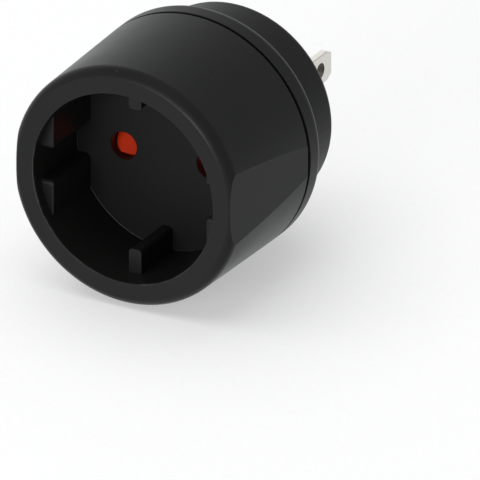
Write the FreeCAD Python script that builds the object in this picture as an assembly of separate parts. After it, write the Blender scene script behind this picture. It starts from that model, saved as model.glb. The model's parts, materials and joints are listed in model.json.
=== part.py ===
import FreeCAD, Part
import os
import math
from FreeCAD import Vector as V

os.makedirs("parts", exist_ok=True)

# Travel adapter, millimetres.
# Y is the object's axis: the mouth of the socket recess lies in Y = 0 and faces -Y,
# the flat blades point to +Y.  X runs along the line of the two pins, Z is up.

# ---------------------------------------------------------------- driving sizes
R_OUT = 25.36           # outer radius at the seam and of the rear moulding
R_SHOULDER = 24.88      # outer radius where the shoulder ends; the wall widens slightly from here to the seam
R_RECESS = 19.85        # socket recess radius
Y_FLOOR = 17.5          # depth of the recess
T_FLOOR = 1.8           # thickness of the socket floor
Y_BACK = Y_FLOOR + T_FLOOR
Y_SEAM0 = 28.33         # end of the front moulding
Y_SEAM1 = 29.07         # start of the rear moulding
Y_FLANGE = 34.54        # rear face of the flange
R_FLANGE = 22.9         # the flange's round edge ends here in a slight crease
R_BOSS = 21.25
R_BOSS_FACE = 19.6      # and the boss's round edge here
Y_BOSS = 46.27          # end face of the round boss
Y_PLAT = 53.85          # end face of the blade platform
R_FOOT = 2.3            # round where the platform stands on the boss
Y_ROOF = Y_PLAT - 2.2   # inside of the platform's end wall
FLOOR_ROUND = 0.18      # round between the recess wall and its floor
R_CREASE = 23.2         # the flat annulus round the mouth ends here in a slight crease
RIM_ANGLE = 24.0        # slope of the shoulder at the crease, degrees
FLAT_X = 23.6           # side flats: half distance at the mouth
FLAT_X_SEAM = 25.18     # and at the seam

PIN_X = 9.5             # pins 19 apart
PIN_HOLE_R = 2.85
GUIDE_X = 16.8          # inner face of the side guide blocks
GUIDE_Y = 2.8           # front face of the blocks
GROOVE_Z = 3.35         # half height of the groove in each block
RIB_HALF = 1.35
RIB_IN = 14.9           # inner end of the top and bottom ribs
RIB_Y = 5.0

R_CAV_F = 22.3          # cavity behind the floor
LIP_R = 22.08           # lip of the rear moulding that enters it
LIP_Y = 26.9

R_SCREWS = 17.2         # the three screws stand on this circle, 120 degrees apart
SCREWS = [(0.0, R_SCREWS), (-0.866 * R_SCREWS, -0.5 * R_SCREWS), (0.866 * R_SCREWS, -0.5 * R_SCREWS)]
PILLAR_R = 2.5
WELL_R = 1.9            # screw well in the rear face
WELL_Y = 35.2           # bottom of the well
SCREW_R = 1.1
SCREW_HEAD_R = 1.75
SCREW_HEAD_T = 1.6
SCREW_TIP = 22.0

# shutter, closed position
SH_Y0 = Y_BACK + 0.2
SH_T = 5.0
SH_Y1 = SH_Y0 + SH_T
SH_TOP = 2.9
SH_BOT = -3.1
SH_TOE = -2.4           # lower end of the pin ramp
SH_RAMP = 2.6           # depth of the pin ramp
SH_TRAVEL = 5.5
SH_TAIL_X = 5.0
SH_TAIL_Z = -10.5
SPRING_R = 1.55         # mean coil radius
SPRING_WIRE = 0.3       # wire diameter
SPRING_TURNS = 9
SPRING_SEAT = -19.0
POCKET_TOP = -4.6
POCKET_R = 1.98
SPRING_Y = SH_Y0 + SH_T / 2

Y_RET0 = SH_Y1 + 0.2    # shutter retainer plate
Y_RET1 = Y_RET0 + 1.2
Y_CAR0 = Y_RET1 + 0.2   # contact carrier
Y_CAR1 = Y_CAR0 + 1.6
Y_TROUGH = 37.4

POSTS_TOP = [(-11.2, 9.4), (11.2, 9.4)]       # carrier screws
POSTS_BOT = [(-8.9, -14.0), (8.9, -14.0)]     # retainer screws
POST_R = 2.2

BLADE_X = 6.35
BLADE_T = 1.5
BLADE_TIP = 70.3
BLADE_HOLE_Y = 65.75
BLADE_HOLE_R = 1.6
NARROW_W = 6.35
WIDE_W = 7.9
NECK_W = 6.1
SHOULDER_W = 9.0
TAIL_W = 5.4

STRIP_T = 0.8


# ---------------------------------------------------------------- helpers
def cyl_y(r, y0, y1, x=0.0, z=0.0):
    return Part.makeCylinder(r, y1 - y0, V(x, y0, z), V(0, 1, 0))


def cone_y(r0, r1, y0, y1, x=0.0, z=0.0):
    return Part.makeCone(r0, r1, y1 - y0, V(x, y0, z), V(0, 1, 0))


def box(x0, x1, y0, y1, z0, z1):
    return Part.makeBox(x1 - x0, y1 - y0, z1 - z0, V(x0, y0, z0))


def prism_x(points_yz, x0, x1):
    w = Part.makePolygon([V(x0, y, z) for y, z in points_yz] + [V(x0, points_yz[0][0], points_yz[0][1])])
    return Part.Face(w).extrude(V(x1 - x0, 0, 0))


def prism_z(points_xy, z0, z1):
    w = Part.makePolygon([V(x, y, z0) for x, y in points_xy] + [V(points_xy[0][0], points_xy[0][1], z0)])
    return Part.Face(w).extrude(V(0, 0, z1 - z0))


def prism_y(points_xz, y0, y1):
    w = Part.makePolygon([V(x, y0, z) for x, z in points_xz] + [V(points_xz[0][0], y0, points_xz[0][1])])
    return Part.Face(w).extrude(V(0, y1 - y0, 0))


def round_edges(shape, radius, pick):
    edges = [e for e in shape.Edges if pick(e)]
    return shape.makeFillet(radius, edges) if edges else shape


def bevel_edges(shape, size, pick):
    edges = [e for e in shape.Edges if pick(e)]
    return shape.makeChamfer(size, edges) if edges else shape


def radius_of(e):
    try:
        return e.Curve.Radius
    except (TypeError, AttributeError):
        return None


def is_circle(e, r, y, tol=1e-3):
    if radius_of(e) is None:
        return False
    c = e.Curve
    return abs(c.Radius - r) < tol and abs(c.Center.y - y) < tol


def on_y(e, y, tol=1e-4):
    b = e.BoundBox
    return abs(b.YMin - y) < tol and abs(b.YMax - y) < tol


def revolve_profile(rz):
    """Turned body: list of (radius, y) points, closed, turned round the Y axis."""
    w = Part.makePolygon([V(r, y, 0) for r, y in rz] + [V(rz[0][0], rz[0][1], 0)])
    return Part.Face(w).revolve(V(0, 0, 0), V(0, 1, 0), 360)


def clean(shape):
    s = shape.removeSplitter()
    return s


def mirror_x(shape):
    return shape.mirror(V(0, 0, 0), V(1, 0, 0))


NODES = {}


def add(name, shape, solids=1):
    shape = clean(shape)
    n = len(shape.Solids)
    if not shape.isValid() or n != solids:
        raise RuntimeError("%s: valid=%s solids=%d" % (name, shape.isValid(), n))
    if solids == 1:
        shape = shape.Solids[0]
    else:
        shape = Part.makeCompound(shape.Solids)
    NODES[name] = shape


# ---------------------------------------------------------------- front housing
# the shoulder is an arc that leaves the crease at RIM_ANGLE and runs out on the slightly conical outer wall
a0 = math.radians(RIM_ANGLE)
a1 = math.pi / 2 - math.atan2(R_OUT - R_SHOULDER, Y_SEAM0 - 2.46)
rho = (R_SHOULDER - R_CREASE) / (math.sin(a1) - math.sin(a0))
cr, cy = R_CREASE - rho * math.sin(a0), rho * math.cos(a0)
y_sh = cy - rho * math.cos(a1)
am = (a0 + a1) / 2
half = Part.Wire([
    Part.makeLine(V(0, 0, 0), V(R_CREASE, 0, 0)),
    Part.Arc(V(R_CREASE, 0, 0), V(cr + rho * math.sin(am), cy - rho * math.cos(am), 0), V(R_SHOULDER, y_sh, 0)).toShape(),
    Part.makeLine(V(R_SHOULDER, y_sh, 0), V(R_OUT, Y_SEAM0, 0)),
    Part.makeLine(V(R_OUT, Y_SEAM0, 0), V(0, Y_SEAM0, 0)),
    Part.makeLine(V(0, Y_SEAM0, 0), V(0, 0, 0))])
body = Part.Face(half).revolve(V(0, 0, 0), V(0, 1, 0), 360)
body = round_edges(body, 0.2, lambda e: is_circle(e, R_CREASE, 0))
body = round_edges(body, 0.12, lambda e: is_circle(e, R_OUT, Y_SEAM0))
# the two tapered side flats
k = (FLAT_X_SEAM - FLAT_X) / Y_SEAM0
for s in (1, -1):
    pts = [(s * (FLAT_X - k), -1.0), (s * (FLAT_X_SEAM + k), Y_SEAM0 + 1.0),
           (s * 30, Y_SEAM0 + 1.0), (s * 30, -1.0)]
    body = body.cut(prism_z(pts, -15, 15))

# socket recess with its guide blocks, groove and ribs
recess = cyl_y(R_RECESS, -1, Y_FLOOR)
recess = round_edges(recess, FLOOR_ROUND, lambda e: is_circle(e, R_RECESS, Y_FLOOR))
keep = None
for s in (1, -1):
    blk = box(min(s * GUIDE_X, s * 21), max(s * GUIDE_X, s * 21), GUIDE_Y, Y_FLOOR + 1, -14, 14)
    blk = round_edges(blk, 0.35, lambda e: on_y(e, GUIDE_Y) and abs(abs(e.BoundBox.XMin) - GUIDE_X) < 1e-3
                      and abs(abs(e.BoundBox.XMax) - GUIDE_X) < 1e-3)
    gr = box(min(s * (GUIDE_X - 1), s * 22), max(s * (GUIDE_X - 1), s * 22), GUIDE_Y - 1, Y_FLOOR + 2, -GROOVE_Z, GROOVE_Z)
    blk = blk.cut(gr)
    blk = round_edges(blk, 0.9, lambda e: abs(abs(e.BoundBox.XMin) - GUIDE_X) < 1e-3
                      and abs(abs(e.BoundBox.XMax) - GUIDE_X) < 1e-3
                      and abs(abs(e.BoundBox.ZMin) - GROOVE_Z) < 1e-3
                      and abs(abs(e.BoundBox.ZMax) - GROOVE_Z) < 1e-3)
    keep = blk if keep is None else keep.fuse(blk)
for s in (1, -1):
    z0, z1 = sorted((s * RIB_IN, s * 21.0))
    rib = box(-RIB_HALF, RIB_HALF, RIB_Y, Y_FLOOR + 1, z0, z1)
    rib = round_edges(rib, 0.75, lambda e: abs(e.BoundBox.YLength - (Y_FLOOR + 1 - RIB_Y)) < 1e-3
                      and abs(abs(e.BoundBox.ZMin) - RIB_IN) < 1e-3 and abs(abs(e.BoundBox.ZMax) - RIB_IN) < 1e-3)
    keep = keep.fuse(rib)
recess = recess.cut(keep)
body = body.cut(recess)
# pin holes with a small lead-in
for s in (1, -1):
    body = body.cut(cyl_y(PIN_HOLE_R, Y_FLOOR - 1, Y_BACK + 1, s * PIN_X, 0))
    body = body.cut(cone_y(PIN_HOLE_R + 0.15, PIN_HOLE_R, Y_FLOOR - 0.03, Y_FLOOR + 0.12, s * PIN_X, 0))
# cavity behind the floor
body = body.cut(cyl_y(R_CAV_F, Y_BACK, Y_SEAM0 + 1))
body = round_edges(body, 0.12, lambda e: is_circle(e, R_RECESS, 0))

inner = None


def join(a, b):
    return b if a is None else a.fuse(b)


for x, z in SCREWS:
    inner = join(inner, cyl_y(PILLAR_R, Y_BACK - 0.5, 29.9, x, z))
for x, z in POSTS_TOP:
    inner = join(inner, cyl_y(POST_R, Y_BACK - 0.5, Y_CAR0, x, z))
for x, z in POSTS_BOT:
    inner = join(inner, cyl_y(POST_R, Y_BACK - 0.5, Y_RET0, x, z))
# guide ribs for the tail of the shutter and the seat of its spring
for s in (1, -1):
    x0, x1 = sorted((s * 5.15, s * 6.5))
    inner = join(inner, box(x0, x1, Y_BACK - 0.5, Y_RET0, -20.3, -9.0))
inner = join(inner, box(-6.5, 6.5, Y_BACK - 0.5, Y_RET0, -20.6, SPRING_SEAT))
# stop bar above the shutter
inner = join(inner, box(-7.5, 7.5, Y_BACK - 0.5, Y_RET0, SH_TOP + 0.02, SH_TOP + 1.5))
# webs from the pillars to the wall
inner = join(inner, box(-0.7, 0.7, Y_BACK - 0.5, 26.6, 17.5, 22.6))
for s in (1, -1):
    web = box(0, 7.0, Y_BACK - 0.5, 26.6, -0.7, 0.7)
    web.rotate(V(0, 0, 0), V(0, 1, 0), 30)
    web.translate(V(SCREWS[2][0], 0, SCREWS[2][1]))
    if s < 0:
        web = mirror_x(web)
    inner = inner.fuse(web)
inner = inner.common(cyl_y(R_CAV_F + 0.8, Y_BACK - 0.5, 29.9))
body = body.fuse(inner)
for x, z in SCREWS:
    body = body.cut(cyl_y(SCREW_R + 0.02, SCREW_TIP - 0.5, 31, x, z))
for x, z in POSTS_TOP + POSTS_BOT:
    body = body.cut(cyl_y(0.92, Y_BACK + 0.6, 31, x, z))
add("front_housing", body)

# ---------------------------------------------------------------- rear cover
def rear_shoulder(r_out, y_start, r1, turn, r_face, y_face):
    """Round edge of a rear face: a tight round off the cylinder that opens into a wider one and ends in a crease."""
    t = math.radians(turn)
    cr1 = r_out - r1
    jr, jy = cr1 + r1 * math.cos(t), y_start + r1 * math.sin(t)
    tc = math.atan2(jr - r_face, y_face - jy)
    r2 = math.hypot(jr - r_face, y_face - jy) / (2 * math.sin(tc - t))
    cr2, cy2 = jr - r2 * math.cos(t), jy - r2 * math.sin(t)
    a, b, c = V(r_out, y_start, 0), V(jr, jy, 0), V(r_face, y_face, 0)
    m1 = V(cr1 + r1 * math.cos(t / 2), y_start + r1 * math.sin(t / 2), 0)
    m2 = V(cr2 + r2 * math.cos(tc), cy2 + r2 * math.sin(tc), 0)
    return a, c, [Part.Arc(a, m1, b).toShape(), Part.Arc(b, m2, c).toShape()]


fa, fb, flange_round = rear_shoulder(R_OUT, 31.88, 2.2, 45, R_FLANGE, Y_FLANGE)
ba, bb, boss_round = rear_shoulder(R_BOSS, 44.35, 1.6, 35, R_BOSS_FACE, Y_BOSS)
half = Part.Wire([
    Part.makeLine(V(0, Y_SEAM1, 0), V(R_OUT, Y_SEAM1, 0)),
    Part.makeLine(V(R_OUT, Y_SEAM1, 0), fa)] + flange_round + [
    Part.makeLine(fb, V(R_BOSS, Y_FLANGE, 0)),
    Part.makeLine(V(R_BOSS, Y_FLANGE, 0), ba)] + boss_round + [
    Part.makeLine(bb, V(0, Y_BOSS, 0)),
    Part.makeLine(V(0, Y_BOSS, 0), V(0, Y_SEAM1, 0))])
outer = Part.Face(half).revolve(V(0, 0, 0), V(0, 1, 0), 360)
outer = round_edges(outer, 0.12, lambda e: is_circle(e, R_OUT, Y_SEAM1))
outer = round_edges(outer, 0.45, lambda e: is_circle(e, R_BOSS, Y_FLANGE))
lip = cyl_y(LIP_R, LIP_Y, Y_SEAM1 + 1)
lip = bevel_edges(lip, 0.3, lambda e: is_circle(e, LIP_R, LIP_Y))
cover = clean(outer.fuse(lip))

# blade platform: rounded box with drafted sides on a generous base round
PX, PZ0, PZ1 = 12.2, -9.3, 8.6


def rounded_rect(hx, z0, z1, r_top, r_bot, y):
    pts = []
    segs = []

    def arc(cx, cz, r, a0):
        a = math.radians(a0)
        m = math.radians(a0 + 45)
        b = math.radians(a0 + 90)
        p = [V(cx + r * math.cos(t), y, cz + r * math.sin(t)) for t in (a, m, b)]
        return p

    corners = [arc(hx - r_top, z1 - r_top, r_top, 0), arc(-hx + r_top, z1 - r_top, r_top, 90),
               arc(-hx + r_bot, z0 + r_bot, r_bot, 180), arc(hx - r_bot, z0 + r_bot, r_bot, 270)]
    for i, c in enumerate(corners):
        segs.append(Part.Arc(c[0], c[1], c[2]).toShape())
        n = corners[(i + 1) % 4]
        segs.append(Part.makeLine(c[2], n[0]))
    return Part.Wire(segs)


plat = Part.makeLoft([rounded_rect(PX + 0.5, PZ0 - 0.5, PZ1 + 0.5, 3.3, 2.5, Y_BOSS - 1.0),
                      rounded_rect(PX, PZ0, PZ1, 3.0, 2.2, Y_PLAT)], True)
plat = round_edges(plat, 0.35, lambda e: on_y(e, Y_PLAT))
cover = clean(cover.fuse(plat))


def plat_foot(e):
    b = e.BoundBox
    if not on_y(e, Y_BOSS, 1e-3):
        return False
    return b.XMin > -14 and b.XMax < 14 and b.ZMin > -12 and b.ZMax < 11


try:
    rounded = round_edges(cover, R_FOOT, plat_foot)
    if rounded.isValid():
        cover = rounded
    else:
        print("platform foot round not valid")
except Exception as err:
    print("platform foot round left out:", err)

# hollow
cover = cover.cut(cyl_y(20.0, LIP_Y - 1, 32.0))
cover = cover.cut(cyl_y(18.9, 31.5, Y_BOSS - 2.2))
hollow = Part.makeLoft([rounded_rect(PX - 1.9, PZ0 + 1.9, PZ1 - 1.9, 1.6, 1.2, 42.0),
                        rounded_rect(PX - 2.1, PZ0 + 2.1, PZ1 - 2.1, 1.5, 1.1, Y_ROOF)], True)
cover = cover.cut(hollow)
inner = None
for x, z in SCREWS:
    inner = join(inner, cyl_y(3.0, 30.0, Y_BOSS - 1.7, x, z))
# posts for the clamp screws inside the platform
for z in (3.4, -4.6):
    inner = join(inner, cyl_y(2.1, 47.1, Y_ROOF + 0.5, 0, z))
cover = cover.fuse(inner)
for x, z in SCREWS:
    cover = cover.cut(cyl_y(WELL_R, WELL_Y, Y_BOSS + 1, x, z))
    cover = cover.cut(cone_y(WELL_R, WELL_R + 0.25, Y_BOSS - 0.25, Y_BOSS + 0.001, x, z))
    cover = cover.cut(cyl_y(SCREW_R + 0.15, 29, WELL_Y + 1, x, z))
for z in (3.4, -4.6):
    cover = cover.cut(cyl_y(0.92, 46.5, 50.9, 0, z))
# blade slots with a shallow relief round each blade
for s, w in ((1, NARROW_W), (-1, WIDE_W)):
    xm = s * BLADE_X
    h = (w + 0.12) / 2
    t = (BLADE_T + 0.12) / 2
    cover = cover.cut(box(xm - t, xm + t, 50, Y_PLAT + 1, -h, h))
    hr = 4.25
    tr = 1.7
    relief = box(xm - tr, xm + tr, Y_PLAT - 0.4, Y_PLAT + 1, -hr, hr)
    relief = round_edges(relief, 0.5, lambda e: abs(e.BoundBox.YLength - 1.4) < 1e-3)
    cover = cover.cut(relief)
add("rear_cover", cover)

# ---------------------------------------------------------------- shutter
# cross section in (y, z): ramp that faces the pins and upwards
sec = [(SH_Y0 + SH_TOE - SH_BOT, SH_BOT), (SH_Y0, SH_TOE), (SH_Y0 + 0.15, SH_TOE + 0.4), (SH_Y0 + SH_RAMP, SH_TOP),
       (SH_Y1, SH_TOP), (SH_Y1, SH_BOT)]
ramp = prism_x(sec, PIN_X - 3.1, PIN_X + 3.1)
# the lower outer corner is round about the pin axis
ramp_r = ramp.common(box(0, PIN_X, 0, 60, -10, 10).fuse(
    cyl_y(3.1, 0, 60, PIN_X, 0).fuse(box(PIN_X, PIN_X + 3.1, 0, 60, 0, 10))))
ramp_l = mirror_x(ramp_r)
bar = box(-(PIN_X - 3.0), PIN_X - 3.0, SH_Y0 + 0.3, SH_Y1, SH_BOT, SH_TOP - 0.6)
tail = box(-SH_TAIL_X, SH_TAIL_X, SH_Y0, SH_Y1, SH_TAIL_Z, SH_TOE)
tail = bevel_edges(tail, 0.5, lambda e: abs(e.BoundBox.YLength - SH_T) < 1e-3 and abs(e.BoundBox.ZMin - SH_TAIL_Z) < 1e-3
                   and abs(e.BoundBox.ZMax - SH_TAIL_Z) < 1e-3)
shutter = ramp_r.fuse(ramp_l).fuse(bar).fuse(tail)
shutter = shutter.cut(Part.makeCylinder(POCKET_R, POCKET_TOP - (SH_TAIL_Z - 1), V(0, SPRING_Y, SH_TAIL_Z - 1), V(0, 0, 1)))
add("shutter", shutter)

# ---------------------------------------------------------------- shutter spring
# a coil with one closed turn at each end, drawn through evenly spaced points of its line
z0 = SPRING_SEAT + SPRING_WIRE / 2 + 0.02
length = (POCKET_TOP - SPRING_WIRE / 2 - 0.02) - z0
end_rise = SPRING_WIRE * 1.15


def coil_height(turn):
    if turn <= 1:
        return end_rise * turn
    if turn >= SPRING_TURNS - 1:
        return length - end_rise * (SPRING_TURNS - turn)
    return end_rise + (length - 2 * end_rise) * (turn - 1) / (SPRING_TURNS - 2)


steps = 16
line = []
for i in range(SPRING_TURNS * steps + 1):
    a = 2 * math.pi * i / steps
    line.append(V(SPRING_R * math.cos(a), SPRING_R * math.sin(a), coil_height(i / steps)))
curve = Part.BSplineCurve()
curve.interpolate(line)
path = Part.Wire([curve.toShape()])
prof = Part.Wire([Part.Circle(line[0], curve.tangent(curve.FirstParameter)[0], SPRING_WIRE / 2).toShape()])
coil = path.makePipeShell([prof], True, True)
coil.translate(V(0, SPRING_Y, z0))
add("shutter_spring", coil)

# ---------------------------------------------------------------- shutter retainer
ret = cyl_y(21.2, Y_RET0, Y_RET1)
ret = ret.common(box(-15.2, 15.2, 0, 60, -20.5, 12.6))
for x, z in SCREWS:
    ret = ret.cut(cyl_y(PILLAR_R + 0.3, 20, 30, x, z))
    if x:
        s = 1 if x > 0 else -1
        x0, x1 = sorted((s * 12.6, s * 22))
        ret = ret.cut(box(x0, x1, 20, 30, -22, -7.2))
for s in (1, -1):
    ret = ret.cut(cyl_y(2.75, 20, 30, s * PIN_X, 0))
for x, z in POSTS_TOP:
    ret = ret.cut(cyl_y(POST_R + 0.15, 20, 30, x, z))
for x, z in POSTS_BOT:
    ret = ret.cut(cyl_y(1.1, 20, 30, x, z))
add("shutter_retainer", ret)


def small_screw(x, z, y_seat, y_tip, head_r=1.8, head_t=1.2, shank_r=0.9, drive=0.55, turn=20.0):
    s = cyl_y(shank_r, y_tip + 0.6, y_seat + 0.2, x, z)
    s = s.fuse(cone_y(0.3, shank_r, y_tip, y_tip + 0.6, x, z))
    head = cyl_y(head_r, y_seat, y_seat + head_t, x, z)
    head = round_edges(head, head_t * 0.4, lambda e: is_circle(e, head_r, y_seat + head_t))
    s = s.fuse(head)
    for a in (0, 90):
        slot = box(-head_r * 0.55, head_r * 0.55, y_seat + head_t - drive, y_seat + head_t + 1, -0.2, 0.2)
        slot.rotate(V(0, 0, 0), V(0, 1, 0), a + turn)
        slot.translate(V(x, 0, z))
        s = s.cut(slot)
    return clean(s)


def group(shapes):
    return Part.makeCompound([s.Solids[0] for s in shapes])


def add_group(name, shapes):
    for s in shapes:
        if not s.isValid() or len(s.Solids) != 1:
            raise RuntimeError(name)
    NODES[name] = group(shapes)


add_group("retainer_screws", [small_screw(x, z, Y_RET1, Y_BACK + 0.9, turn=15 + 30 * i)
                              for i, (x, z) in enumerate(POSTS_BOT)])

# ---------------------------------------------------------------- contact carrier
car = box(-14.2, 14.2, Y_CAR0, Y_CAR1, -6.2, 7.4)
for s in (1, -1):
    ear = cyl_y(2.6, Y_CAR0, Y_CAR1, s * 11.2, 9.4)
    x0, x1 = sorted((s * 8.6, s * 13.8))
    ear = ear.fuse(box(x0, x1, Y_CAR0, Y_CAR1, 7.0, 9.4))
    car = car.fuse(ear)
    # trough for one contact
    x0, x1 = sorted((s * 4.4, s * 13.6))
    t = box(x0, x1, Y_CAR1 - 0.5, Y_TROUGH, -5.4, 5.4)
    xi0, xi1 = sorted((s * 5.4, s * 14.5))
    t = t.cut(box(xi0, xi1, Y_CAR1, Y_TROUGH + 1, -4.4, 4.4))
    x0, x1 = sorted((s * 12.9, s * 13.9))
    wall = box(x0, x1, Y_CAR1 - 0.5, Y_TROUGH, -5.4, 5.4)
    car = car.fuse(t).fuse(wall)
car = car.fuse(box(-4.6, 4.6, Y_CAR1 - 0.5, 31.0, -5.4, -4.4)).fuse(box(-4.6, 4.6, Y_CAR1 - 0.5, 31.0, 4.4, 5.4))
car = car.fuse(box(-0.6, 0.6, Y_CAR1 - 0.5, Y_TROUGH + 2.4, -5.4, 5.4))
for s in (1, -1):
    car = car.cut(cyl_y(2.7, 20, Y_CAR1 + 0.1, s * PIN_X, 0))
    car = car.cut(cone_y(3.2, 2.7, Y_CAR0 - 0.001, Y_CAR0 + 0.5, s * PIN_X, 0))
for x, z in POSTS_TOP:
    car = car.cut(cyl_y(1.1, 20, 40, x, z))
for x, z in SCREWS:
    car = car.cut(cyl_y(PILLAR_R + 0.8, 20, 40, x, z))
car = clean(car)
add("contact_carrier", car)
add_group("carrier_screws", [small_screw(x, z, Y_CAR1, Y_BACK + 0.9, turn=40 - 25 * i)
                             for i, (x, z) in enumerate(POSTS_TOP)])

# ---------------------------------------------------------------- contacts (right side, mirrored for the left)
XW0, XW1 = 6.3, 7.1      # web of the channel, against the strip and in line with the blade
CH_Y0, CH_Y1 = Y_CAR1 + 0.15, 36.6
LEAF0, LEAF1 = 2.46, 3.26
chan = box(XW0, XW1, CH_Y0, 40.6, -2.6, 2.6)
chan = chan.fuse(box(XW0, XW1, CH_Y0, CH_Y1, -LEAF1, LEAF1))
for s in (1, -1):
    z0, z1 = sorted((s * LEAF0, s * LEAF1))
    leaf = box(XW0, 12.2, CH_Y0 + 1.2, CH_Y1, z0, z1)
    # flared lead-in and outward lip
    lead = prism_x([(CH_Y0 + 1.3, s * LEAF0), (CH_Y0 + 1.3, s * LEAF1), (CH_Y0, s * (LEAF1 + 0.55)), (CH_Y0, s * (LEAF0 + 0.55))],
                   XW1, 12.2)
    chan = chan.fuse(leaf).fuse(lead)
chan = clean(chan)
chan = round_edges(chan, 0.6, lambda e: abs(e.BoundBox.XMin - XW0) < 1e-3 and abs(e.BoundBox.XMax - XW0) < 1e-3
                   and abs(abs(e.BoundBox.ZMin) - LEAF1) < 1e-3 and abs(abs(e.BoundBox.ZMax) - LEAF1) < 1e-3)
RIV_Y1, RIV_Y2 = 38.7, 42.7
chan = chan.cut(Part.makeCylinder(1.02, 4, V(5, RIV_Y1, 0), V(1, 0, 0)))
add("sleeve_contact_right", chan)
add("sleeve_contact_left", mirror_x(chan))

# steel clip round the channel
clip_o = box(5.55, 12.4, 30.4, 34.6, -3.92, 3.92)
clip_o = round_edges(clip_o, 0.8, lambda e: abs(e.BoundBox.YLength - 4.2) < 1e-3)
clip_i = box(6.15, 13.0, 30.0, 35.0, -3.34, 3.34)
clip = clip_o.cut(clip_i)
# the ends turn in behind the leaves
clip = clip.fuse(box(12.3, 12.8, 30.4, 34.6, 2.7, 3.92)).fuse(box(12.3, 12.8, 30.4, 34.6, -3.92, -2.7))
add("clamp_spring_right", clip)
add("clamp_spring_left", mirror_x(clip))

# strip from the contact to the blade
strip = box(XW1, XW1 + STRIP_T, 37.1, 44.4, -2.5, 2.5)
strip = round_edges(strip, 1.2, lambda e: abs(e.BoundBox.XLength - STRIP_T) < 1e-3)
for y in (RIV_Y1, RIV_Y2):
    strip = strip.cut(Part.makeCylinder(1.02, 4, V(5, y, 0), V(1, 0, 0)))
add("link_strip_right", strip)
add("link_strip_left", mirror_x(strip))


def rivet(y, xa, xb):
    r = Part.makeCylinder(1.0, xb - xa, V(xa, y, 0), V(1, 0, 0))
    h1 = Part.makeCylinder(1.7, 0.55, V(xa - 0.55, y, 0), V(1, 0, 0))
    h2 = Part.makeCylinder(1.7, 0.55, V(xb, y, 0), V(1, 0, 0))
    h1 = round_edges(h1, 0.3, lambda e: radius_of(e) is not None and abs(e.BoundBox.XMin - (xa - 0.55)) < 1e-3
                     and abs(e.BoundBox.XMax - (xa - 0.55)) < 1e-3)
    h2 = round_edges(h2, 0.3, lambda e: radius_of(e) is not None and abs(e.BoundBox.XMin - (xb + 0.55)) < 1e-3
                     and abs(e.BoundBox.XMax - (xb + 0.55)) < 1e-3)
    return clean(r.fuse(h1).fuse(h2))


r1 = rivet(RIV_Y1, XW0, XW1 + STRIP_T)
r2 = rivet(RIV_Y2, BLADE_X - BLADE_T / 2, XW1 + STRIP_T)
add_group("sleeve_rivets", [mirror_x(r1), r1])
add_group("blade_rivets", [mirror_x(r2), r2])


# ---------------------------------------------------------------- blades
def blade(width, neck, wide):
    h = width / 2
    n = neck / 2
    tail = TAIL_W / 2
    sh = SHOULDER_W / 2
    y_t0, y_s0, y_s1 = 40.8, 47.2, Y_ROOF - 0.05
    cy, cz = (1.5, 1.15) if wide else (1.9, 0.9)     # corners of the tip
    if wide:
        side = [(y_s1, h), (Y_PLAT + 0.3, h), (Y_PLAT + 1.1, n), (BLADE_HOLE_Y - 1.4, n), (BLADE_HOLE_Y + 0.9, h),
                (BLADE_TIP - cy, h), (BLADE_TIP, h - cz)]
    else:
        side = [(y_s1, h), (BLADE_TIP - cy, h), (BLADE_TIP, h - cz)]
    up = [(y_t0, tail - 0.8), (y_t0 + 0.8, tail), (y_s0, tail), (y_s0, sh), (y_s1, sh)] + side
    down = [(y, -z) for y, z in reversed(up)]
    b = prism_x(up + down, -BLADE_T / 2, BLADE_T / 2)
    # the corners of the neck, the head and the tip are slightly round, and so are all edges of the outline
    b = round_edges(b, 0.4, lambda e: abs(e.BoundBox.XLength - BLADE_T) < 1e-3 and e.BoundBox.YMin > Y_PLAT + 0.2)
    b = round_edges(b, 0.28, lambda e: e.BoundBox.XLength < 1e-3)
    b = b.cut(Part.makeCylinder(BLADE_HOLE_R, 4, V(-2, BLADE_HOLE_Y, 0), V(1, 0, 0)))
    b = b.cut(Part.makeCylinder(1.02, 4, V(-2, RIV_Y2, 0), V(1, 0, 0)))
    return b


bn = blade(NARROW_W, NARROW_W, False)
bn.translate(V(BLADE_X, 0, 0))
add("blade_narrow", bn)
bw = blade(WIDE_W, NECK_W, True)
bw.translate(V(-BLADE_X, 0, 0))
add("blade_wide", bw)

# ---------------------------------------------------------------- blade clamp
cl = Part.makeLoft([rounded_rect(PX - 2.5, PZ0 + 2.5, PZ1 - 2.5, 1.2, 0.9, 45.0),
                    rounded_rect(PX - 2.5, PZ0 + 2.5, PZ1 - 2.5, 1.2, 0.9, 47.0)], True)
for s in (1, -1):
    cl = cl.cut(box(s * BLADE_X - 0.85, s * BLADE_X + 0.85, 44, 48, -TAIL_W / 2 - 0.1, TAIL_W / 2 + 0.1))
for z in (3.4, -4.6):
    cl = cl.cut(cyl_y(1.1, 44, 48, 0, z))
add("blade_clamp", cl)


def screw_minus_y(x, z, y_seat, y_tip, head_r=1.8, head_t=1.2, shank_r=0.9, turn=10.0):
    """Head on the -Y side, tip towards +Y."""
    s = small_screw(0, 0, 0, -(y_tip - y_seat), head_r, head_t, shank_r, turn=turn)
    s.rotate(V(0, 0, 0), V(0, 0, 1), 180)
    s.translate(V(x, y_seat, z))
    return s


add_group("blade_clamp_screws", [screw_minus_y(0, 3.4, 45.0, 50.6, turn=12), screw_minus_y(0, -4.6, 45.0, 50.6, turn=55)])

# ---------------------------------------------------------------- housing screws
hs = []
for i, (x, z) in enumerate(SCREWS):
    hs.append(small_screw(x, z, WELL_Y, SCREW_TIP, SCREW_HEAD_R, SCREW_HEAD_T, SCREW_R, drive=0.9, turn=10 + 35 * i))
add_group("housing_screws", hs)

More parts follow.
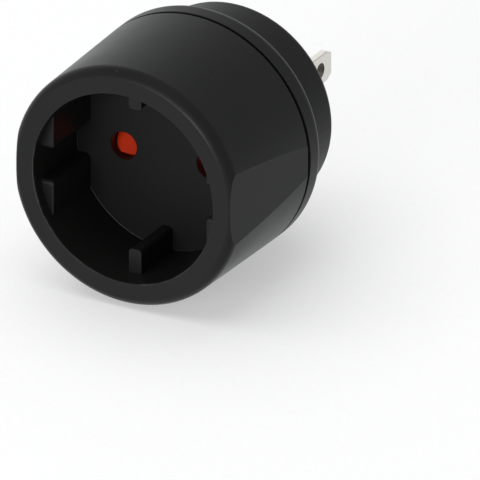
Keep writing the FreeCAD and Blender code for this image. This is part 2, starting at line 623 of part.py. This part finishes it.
# ---------------------------------------------------------------- write
for name in sorted(NODES):
    NODES[name].exportStep("parts/%s.step" % name)
    bb = NODES[name].BoundBox
    print("%-22s vol %9.1f  x %7.2f %7.2f  y %7.2f %7.2f  z %7.2f %7.2f" % (
        name, NODES[name].Volume, bb.XMin, bb.XMax, bb.YMin, bb.YMax, bb.ZMin, bb.ZMax))
print(len(NODES), "nodes")
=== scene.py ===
import bpy
import json
import math
from mathutils import Vector, Matrix


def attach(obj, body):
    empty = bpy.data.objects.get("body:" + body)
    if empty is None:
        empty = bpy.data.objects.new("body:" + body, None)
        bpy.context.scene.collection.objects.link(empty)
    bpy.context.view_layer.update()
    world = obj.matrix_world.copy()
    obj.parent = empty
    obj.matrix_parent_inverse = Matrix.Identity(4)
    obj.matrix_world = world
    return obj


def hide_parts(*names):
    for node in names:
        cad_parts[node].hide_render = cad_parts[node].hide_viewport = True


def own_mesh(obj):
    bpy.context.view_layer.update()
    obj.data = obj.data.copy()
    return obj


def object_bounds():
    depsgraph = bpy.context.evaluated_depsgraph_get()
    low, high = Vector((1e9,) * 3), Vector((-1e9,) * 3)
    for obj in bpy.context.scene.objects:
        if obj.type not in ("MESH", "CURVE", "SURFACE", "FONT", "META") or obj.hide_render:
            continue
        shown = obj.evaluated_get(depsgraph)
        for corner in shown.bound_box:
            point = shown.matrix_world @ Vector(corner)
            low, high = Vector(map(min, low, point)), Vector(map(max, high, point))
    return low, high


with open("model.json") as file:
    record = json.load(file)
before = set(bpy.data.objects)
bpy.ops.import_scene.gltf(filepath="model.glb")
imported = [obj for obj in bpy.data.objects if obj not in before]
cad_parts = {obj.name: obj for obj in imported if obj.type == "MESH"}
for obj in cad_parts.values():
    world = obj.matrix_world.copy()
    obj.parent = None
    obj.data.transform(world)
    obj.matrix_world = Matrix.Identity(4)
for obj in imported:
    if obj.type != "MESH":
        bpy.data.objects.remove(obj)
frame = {"nodes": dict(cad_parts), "record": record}
nodes = frame["nodes"]
cad_lo, cad_hi = [list(v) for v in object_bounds()]
scene = bpy.context.scene

# ------------------------------------------------------------------ camera
# On the object's front right, a little above it. The picture has no measurable convergence, so the view is parallel.
AZ, EL = math.radians(29.07), math.radians(24.90)
BACK = Vector((math.sin(AZ) * math.cos(EL), -math.cos(AZ) * math.cos(EL), math.sin(EL)))
RIGHT = Vector((math.cos(AZ), math.sin(AZ), 0.0))
UP = BACK.cross(RIGHT)
DIST = 0.6
PX_PER_M = 5183.0
aim = RIGHT * ((240 - 122.60) / PX_PER_M) - UP * ((240 - 189.10) / PX_PER_M)
cam_data = bpy.data.cameras.new("camera")
cam_data.type = "ORTHO"
cam_data.sensor_width = 36.0
cam_data.ortho_scale = 480.0 / PX_PER_M
cam_data.clip_start = 0.01
cam_data.clip_end = 100.0
cam = bpy.data.objects.new("camera", cam_data)
cam.rotation_mode = "QUATERNION"
cam.location = aim + BACK * DIST
cam.rotation_quaternion = Matrix((RIGHT, UP, BACK)).transposed().to_quaternion()
scene.collection.objects.link(cam)
scene.camera = cam
scene.view_settings.view_transform = "Standard"


# ------------------------------------------------------------------ node helpers
class Graph:
    def __init__(self, name):
        self.mat = bpy.data.materials.new(name)
        self.mat.use_nodes = True
        self.t = self.mat.node_tree
        self.t.nodes.clear()
        self.out = self.t.nodes.new("ShaderNodeOutputMaterial")
        self.bsdf = self.t.nodes.new("ShaderNodeBsdfPrincipled")
        self.t.links.new(self.bsdf.outputs[0], self.out.inputs[0])

    def new(self, kind, **props):
        n = self.t.nodes.new(kind)
        for k, v in props.items():
            setattr(n, k, v)
        return n

    def link(self, a, b):
        self.t.links.new(a, b)

    def put(self, socket, value):
        if hasattr(value, "is_output"):
            self.link(value, socket)
        else:
            socket.default_value = value

    def coord(self, scale=(1, 1, 1), rot=(0, 0, 0), loc=(0, 0, 0)):
        c = self.new("ShaderNodeTexCoord")
        m = self.new("ShaderNodeMapping")
        m.inputs["Scale"].default_value = scale
        m.inputs["Rotation"].default_value = rot
        m.inputs["Location"].default_value = loc
        self.link(c.outputs["Object"], m.inputs["Vector"])
        return m.outputs[0]

    def noise(self, vec, scale, detail=3.0, rough=0.55):
        n = self.new("ShaderNodeTexNoise")
        n.inputs["Scale"].default_value = scale
        n.inputs["Detail"].default_value = detail
        n.inputs["Roughness"].default_value = rough
        self.link(vec, n.inputs["Vector"])
        return n.outputs[0]

    def voronoi(self, vec, scale, feature="F1"):
        n = self.new("ShaderNodeTexVoronoi", feature=feature)
        n.inputs["Scale"].default_value = scale
        self.link(vec, n.inputs["Vector"])
        return n.outputs["Distance"]

    def remap(self, value, a, b, c, d):
        n = self.new("ShaderNodeMapRange")
        n.inputs["From Min"].default_value = a
        n.inputs["From Max"].default_value = b
        n.inputs["To Min"].default_value = c
        n.inputs["To Max"].default_value = d
        self.link(value, n.inputs["Value"])
        return n.outputs[0]

    def math(self, op, a, b=0.0, clamp=False):
        n = self.new("ShaderNodeMath", operation=op, use_clamp=clamp)
        self.put(n.inputs[0], a)
        self.put(n.inputs[1], b)
        return n.outputs[0]

    def mix(self, fac, a, b):
        n = self.new("ShaderNodeMix", data_type="RGBA")
        self.put(n.inputs[0], fac)
        self.put(n.inputs[6], a)
        self.put(n.inputs[7], b)
        return n.outputs[2]

    def edges(self, radius, lo=0.02, hi=0.25):
        """1 on outer and inner corners, 0 on flat and gently curved faces."""
        bev = self.new("ShaderNodeBevel", samples=6)
        bev.inputs["Radius"].default_value = radius
        geo = self.new("ShaderNodeNewGeometry")
        dot = self.new("ShaderNodeVectorMath", operation="DOT_PRODUCT")
        self.link(bev.outputs[0], dot.inputs[0])
        self.link(geo.outputs["Normal"], dot.inputs[1])
        inv = self.math("SUBTRACT", 1.0, dot.outputs["Value"])
        return self.remap(inv, lo, hi, 0.0, 1.0)

    def ring(self, radius, half_width, y_max):
        """1 on a thin ring about the object's Y axis in front of y_max, 0 elsewhere."""
        sep = self.new("ShaderNodeSeparateXYZ")
        self.link(self.coord(), sep.inputs[0])
        r2 = self.math("ADD", self.math("POWER", sep.outputs[0], 2.0), self.math("POWER", sep.outputs[2], 2.0))
        off = self.math("ABSOLUTE", self.math("SUBTRACT", self.math("SQRT", r2), radius))
        near = self.remap(off, 0.4 * half_width, half_width, 1.0, 0.0)
        return self.math("MULTIPLY", near, self.remap(sep.outputs[1], y_max, 1.3 * y_max, 1.0, 0.0), True)

    def bump(self, height, distance, strength=1.0, normal=None):
        n = self.new("ShaderNodeBump")
        n.inputs["Strength"].default_value = strength
        n.inputs["Distance"].default_value = distance
        self.link(height, n.inputs["Height"])
        if normal is not None:
            self.link(normal, n.inputs["Normal"])
        return n.outputs[0]

    def set(self, **values):
        for k, v in values.items():
            self.put(self.bsdf.inputs[k.replace("_", " ")], v)


def rgb(r, g, b):
    return (r, g, b, 1.0)


def moulded_plastic(name, dark, light, rough, grain=1.0, edge_wear_and_highlight=0.35, spec=0.5, rub_and_highlight=0.0, mouth=0.0):
    """Satin injection-moulded plastic: flow clouding, spark-eroded grain, polished edges, dust. Edges are lightened,
    partly as wear and partly as painted highlight, and lightened further here and there as rub and painted highlight;
    with mouth, a painted highlight ring lies on the mouth's inner edge and painted shade darkens the recess floor.
    """
    g = Graph(name)
    v = g.coord()
    cloud = g.noise(v, 55.0, 4.0, 0.6)
    flow = g.noise(g.coord((60, 14, 60), (0.1, 0.05, 0.2)), 1.0, 3.0, 0.5)
    grain_n = g.noise(v, 3600.0, 2.0, 0.6)
    cell = g.voronoi(v, 5200.0)
    edge = g.edges(0.00022)
    tint = g.mix(g.remap(cloud, 0.3, 0.7, 0.0, 1.0), dark, light)
    # painted highlight, partly wear: edges are lightened towards a paler tone of the plastic's own colour
    worn_and_highlit = tuple(min(1.0, c * 1.7 + 0.004) for c in light[:3]) + (1.0,)
    col = g.mix(g.math("MULTIPLY", edge, edge_wear_and_highlight, True), tint, worn_and_highlit)
    fine = g.edges(0.00011, 0.05, 0.30)
    broken = g.remap(g.noise(g.coord((1, 1, 1), (0.7, 0.2, 0.5)), 210.0, 3.0, 0.6), 0.44, 0.60, 0.0, 1.0)
    rubbed_and_highlit = tuple(min(1.0, c * 0.8 + 0.13) for c in light[:3]) + (1.0,)
    # painted highlight, partly rub: the finest edge lines are lightened further, broken up by noise
    col = g.mix(g.math("MULTIPLY", g.math("MULTIPLY", fine, broken, True), rub_and_highlight, True), col, rubbed_and_highlit)
    if mouth:
        rub_and_highlight_streak = g.remap(g.noise(g.coord((1, 1, 1), (0.2, 0.5, 0.9)), 130.0, 4.0, 0.7), 0.42, 0.60, 0.10, 1.0)
        at = g.new("ShaderNodeVectorMath", operation="DOT_PRODUCT")     # painted highlight and rub on the mouth's inner edge, strongest at the lower left
        g.link(v, at.inputs[0])
        at.inputs[1].default_value = (-0.40 / mouth, 0.0, -0.92 / mouth)
        rub_and_highlight_streak = g.math("MULTIPLY", rub_and_highlight_streak, g.remap(at.outputs["Value"], 0.0, 0.9, 0.22, 1.25))
        # painted highlight, partly rub: a thin lightened ring on the mouth's inner edge
        col = g.mix(g.math("MULTIPLY", g.ring(mouth, 0.00014, 0.0004), g.math("MULTIPLY", rub_and_highlight_streak, 0.30), True), col, rubbed_and_highlit)
    speck = g.voronoi(g.coord((1, 1, 1), (0.3, 0.8, 0.1)), 260.0)
    dust = g.remap(speck, 0.02, 0.045, 0.13, 0.0)
    col = g.mix(dust, col, rgb(0.30, 0.29, 0.27))
    r = g.math("ADD", g.remap(cloud, 0.25, 0.75, rough - 0.035, rough + 0.045), g.remap(flow, 0.3, 0.7, -0.02, 0.02))
    r = g.math("SUBTRACT", r, g.math("MULTIPLY", edge, 0.07))
    r = g.math("ADD", r, g.math("MULTIPLY", dust, 0.4), True)
    height = g.math("ADD", g.math("MULTIPLY", grain_n, 0.65), g.math("MULTIPLY", cell, 0.35))
    if mouth:
        sep = g.new("ShaderNodeSeparateXYZ")
        g.link(v, sep.inputs[0])
        deep = g.math("LESS_THAN", g.math("ABSOLUTE", g.math("SUBTRACT", sep.outputs[1], 0.0175)), 0.00025)
        r2 = g.math("ADD", g.math("POWER", sep.outputs[0], 2.0), g.math("POWER", sep.outputs[2], 2.0))
        deep = g.math("MULTIPLY", deep, g.math("LESS_THAN", r2, 0.0195 ** 2))
        r = g.math("ADD", r, g.math("MULTIPLY", deep, 0.18), True)     # the recess floor is spark-eroded, so duller
        # painted shade: the recess floor's colour is darkened almost to black
        col = g.mix(g.math("MULTIPLY", deep, 0.68), col, rgb(0.0006, 0.0006, 0.0006))
    n1 = g.bump(height, 0.0000045 * grain, 0.55)
    n2 = g.bump(flow, 0.00006, 0.10, n1)
    g.set(Base_Color=col, Roughness=r, Normal=n2, Metallic=0.0, IOR=1.5)
    g.bsdf.inputs["Specular IOR Level"].default_value = spec
    return g.mat


def plated_metal(name, a, b, rough, brush_axis, scale=1.0, sheared=0.0, bore=None):
    """Plated sheet metal: fine lines along one direction, slight tarnish, brighter corners, duller sheared edge faces."""
    g = Graph(name)
    sc = [2600.0 * scale] * 3
    sc[brush_axis] = 55.0 * scale
    lines = g.noise(g.coord(tuple(sc)), 1.0, 3.0, 0.65)
    cloud = g.noise(g.coord(), 220.0, 4.0, 0.6)
    spots = g.voronoi(g.coord((1, 1, 1), (0.2, 0.4, 0.9)), 480.0)
    edge = g.edges(0.00018)
    col = g.mix(g.remap(cloud, 0.3, 0.72, 0.0, 1.0), a, b)
    tarnish = g.remap(spots, 0.03, 0.12, 0.35, 0.0)
    dull = tuple(c * 0.55 for c in a[:3]) + (1.0,)
    col = g.mix(g.math("MULTIPLY", tarnish, 0.5, True), col, dull)
    bright = tuple(min(1.0, c * 1.12) for c in b[:3]) + (1.0,)
    col = g.mix(g.math("MULTIPLY", edge, 0.5, True), col, bright)
    if bore:        # (y, z, radius): painted shade on the wall of the hole, which is bare metal, darkened to dark brown
        sep = g.new("ShaderNodeSeparateXYZ")
        g.link(g.coord(), sep.inputs[0])
        d2 = g.math("ADD", g.math("POWER", g.math("SUBTRACT", sep.outputs[1], bore[0]), 2.0),
                    g.math("POWER", g.math("SUBTRACT", sep.outputs[2], bore[1]), 2.0))
        hole_wall_shade = g.remap(g.math("SQRT", d2), bore[2], bore[2] + 0.00006, 1.0, 0.0)
        col = g.mix(g.math("MULTIPLY", hole_wall_shade, g.remap(cloud, 0.3, 0.7, 0.80, 1.0), True), col, rgb(0.085, 0.058, 0.038))
    metal = 1.0
    r = g.math("ADD", g.remap(lines, 0.25, 0.75, rough - 0.05, rough + 0.07), g.remap(cloud, 0.3, 0.7, -0.02, 0.04), True)
    if sheared:
        geo = g.new("ShaderNodeNewGeometry")
        sep = g.new("ShaderNodeSeparateXYZ")
        g.link(geo.outputs["Normal"], sep.inputs[0])
        side = g.remap(g.math("ABSOLUTE", sep.outputs[0]), 0.45, 0.85, sheared, 0.0)
        r = g.math("ADD", r, side, True)
        metal = g.remap(g.math("ABSOLUTE", sep.outputs[0]), 0.45, 0.85, 0.45, 1.0)     # matt, so it scatters light
    n1 = g.bump(lines, 0.0000022, 0.6)
    n2 = g.bump(cloud, 0.00001, 0.25, n1)
    g.set(Base_Color=col, Metallic=metal, Roughness=r, Normal=n2)
    return g.mat


black = moulded_plastic("housing_plastic", rgb(0.0058, 0.0060, 0.0057), rgb(0.0075, 0.0077, 0.0072), 0.38, spec=0.25, rub_and_highlight=0.35, mouth=0.01990)
red = moulded_plastic("shutter_plastic", rgb(0.41, 0.019, 0.0025), rgb(0.50, 0.030, 0.004), 0.40, 0.6, 0.10, spec=0.08)
natural = moulded_plastic("insulator_plastic", rgb(0.56, 0.54, 0.48), rgb(0.64, 0.62, 0.56), 0.45, 0.8, 0.1)
brass = plated_metal("contact_brass", rgb(0.66, 0.44, 0.16), rgb(0.76, 0.54, 0.23), 0.24, 1)
plating = plated_metal("blade_plating", rgb(0.97, 0.935, 0.87), rgb(1.0, 0.97, 0.915), 0.26, 1, sheared=0.25,
                       bore=(0.06575, 0.0, 0.00160))
spring = plated_metal("spring_steel", rgb(0.46, 0.46, 0.46), rgb(0.58, 0.58, 0.57), 0.26, 2)
zinc = plated_metal("screw_steel", rgb(0.50, 0.50, 0.50), rgb(0.62, 0.62, 0.60), 0.30, 1)

look = {"housing_plastic": black, "shutter_plastic": red, "insulator_plastic": natural, "contact_brass": brass,
        "blade_plating": plating, "spring_steel": spring, "screw_steel": zinc}
for sub in frame["record"]["subparts"]:
    o = nodes[sub["node"]]
    m = look[sub["material_slot"]]
    if not o.data.materials:
        o.data.materials.append(m)
    for s in o.material_slots:
        s.material = m

# The shutter's spring shortens against its seat as the shutter slides down on it; here it is only copied to its own
# mesh, attached to the housing and shown in place of the CAD spring.
coil = bpy.data.objects.new("shutter_coil", nodes["shutter_spring"].data.copy())
coil.matrix_world = nodes["shutter_spring"].matrix_world.copy()
scene.collection.objects.link(coil)
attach(coil, "housing")
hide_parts("shutter_spring")
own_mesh(coil)

# ------------------------------------------------------------------ floor, lights
me = bpy.data.meshes.new("floor")
S = 30.0
z = cad_lo[2]
me.from_pydata([(-S, -S, z), (S, -S, z), (S, S, z), (-S, S, z)], [], [(0, 1, 2, 3)])
floor = bpy.data.objects.new("floor", me)
scene.collection.objects.link(floor)
g = Graph("floor_paper")
fibre = g.noise(g.coord(), 900.0, 4.0, 0.6)
g.set(Base_Color=g.mix(g.remap(fibre, 0.3, 0.7, 0.0, 1.0), rgb(0.50, 0.50, 0.50), rgb(0.52, 0.52, 0.52)), Roughness=0.75,
      Normal=g.bump(fibre, 0.00002, 0.2))
g.bsdf.inputs["Emission Color"].default_value = (1, 1, 1, 1)     # a light table: translucent sheet lit from below
g.bsdf.inputs["Emission Strength"].default_value = 0.42
me.materials.append(g.mat)
floor.visible_glossy = False     # the satin plastic mirrors the light tent, not the sheet of paper it stands on

world = bpy.data.worlds.new("studio")
scene.world = world
world.use_nodes = True
world.cycles.sampling_method = "NONE"
wt = world.node_tree
bg = wt.nodes["Background"]
bg.inputs[0].default_value = (0.98, 0.99, 1.0, 1.0)
aim_dir = wt.nodes.new("ShaderNodeTexCoord")


def lobe(direction, lo, hi):
    """0 to 1 towards a direction of the tent's wall."""
    dot = wt.nodes.new("ShaderNodeVectorMath")
    dot.operation = "DOT_PRODUCT"
    wt.links.new(aim_dir.outputs["Generated"], dot.inputs[0])
    dot.inputs[1].default_value = Vector(direction).normalized()
    ramp = wt.nodes.new("ShaderNodeMapRange")
    ramp.interpolation_type = "SMOOTHSTEP"
    ramp.inputs["From Min"].default_value = lo
    ramp.inputs["From Max"].default_value = hi
    wt.links.new(dot.outputs["Value"], ramp.inputs["Value"])
    return ramp.outputs[0]


def plus(a, b, gain):
    n = wt.nodes.new("ShaderNodeMath")
    n.operation = "MULTIPLY_ADD"
    wt.links.new(b, n.inputs[0])
    n.inputs[1].default_value = gain
    if isinstance(a, float):
        n.inputs[2].default_value = a
    else:
        wt.links.new(a, n.inputs[2])
    return n.outputs[0]


tent = plus(0.42, lobe((-0.2, -0.85, -0.45), 0.2, 0.9), 0.36)
tent = plus(tent, lobe((-0.60, 0.78, 0.05), 0.60, 0.97), 0.29)
tent = plus(tent, lobe((-0.60, 0.79, 0.0), 0.92, 0.995), 0.14)
tent = plus(tent, lobe((-0.10, 0.78, -0.60), 0.60, 0.90), 0.23)
tent = plus(tent, lobe((-0.62, 0.60, -0.50), 0.78, 0.97), 0.13)
tent = plus(tent, lobe((0.35, 0.79, -0.50), 0.85, 0.98), 0.07)
wt.links.new(tent, bg.inputs[1])


def softbox(name, direction, dist, w, h, energy, colour=(1, 1, 1)):
    d = Vector(direction).normalized()
    data = bpy.data.lights.new(name, "AREA")
    data.shape = "RECTANGLE"
    data.size, data.size_y = w, h
    data.energy = energy
    data.color = colour
    ob = bpy.data.objects.new(name, data)
    target = Vector((0, 0.03, 0))
    ob.location = target + d * dist
    ob.rotation_euler = (-d).to_track_quat("-Z", "Y").to_euler()
    scene.collection.objects.link(ob)
    return ob


top = softbox("top", (-0.25, 0.0, 0.97), 1.4, 1.8, 1.8, 18.5)
top.visible_glossy = False
softbox("front", (0.0, -0.97, 0.20), 1.2, 0.62, 0.34, 6.0)
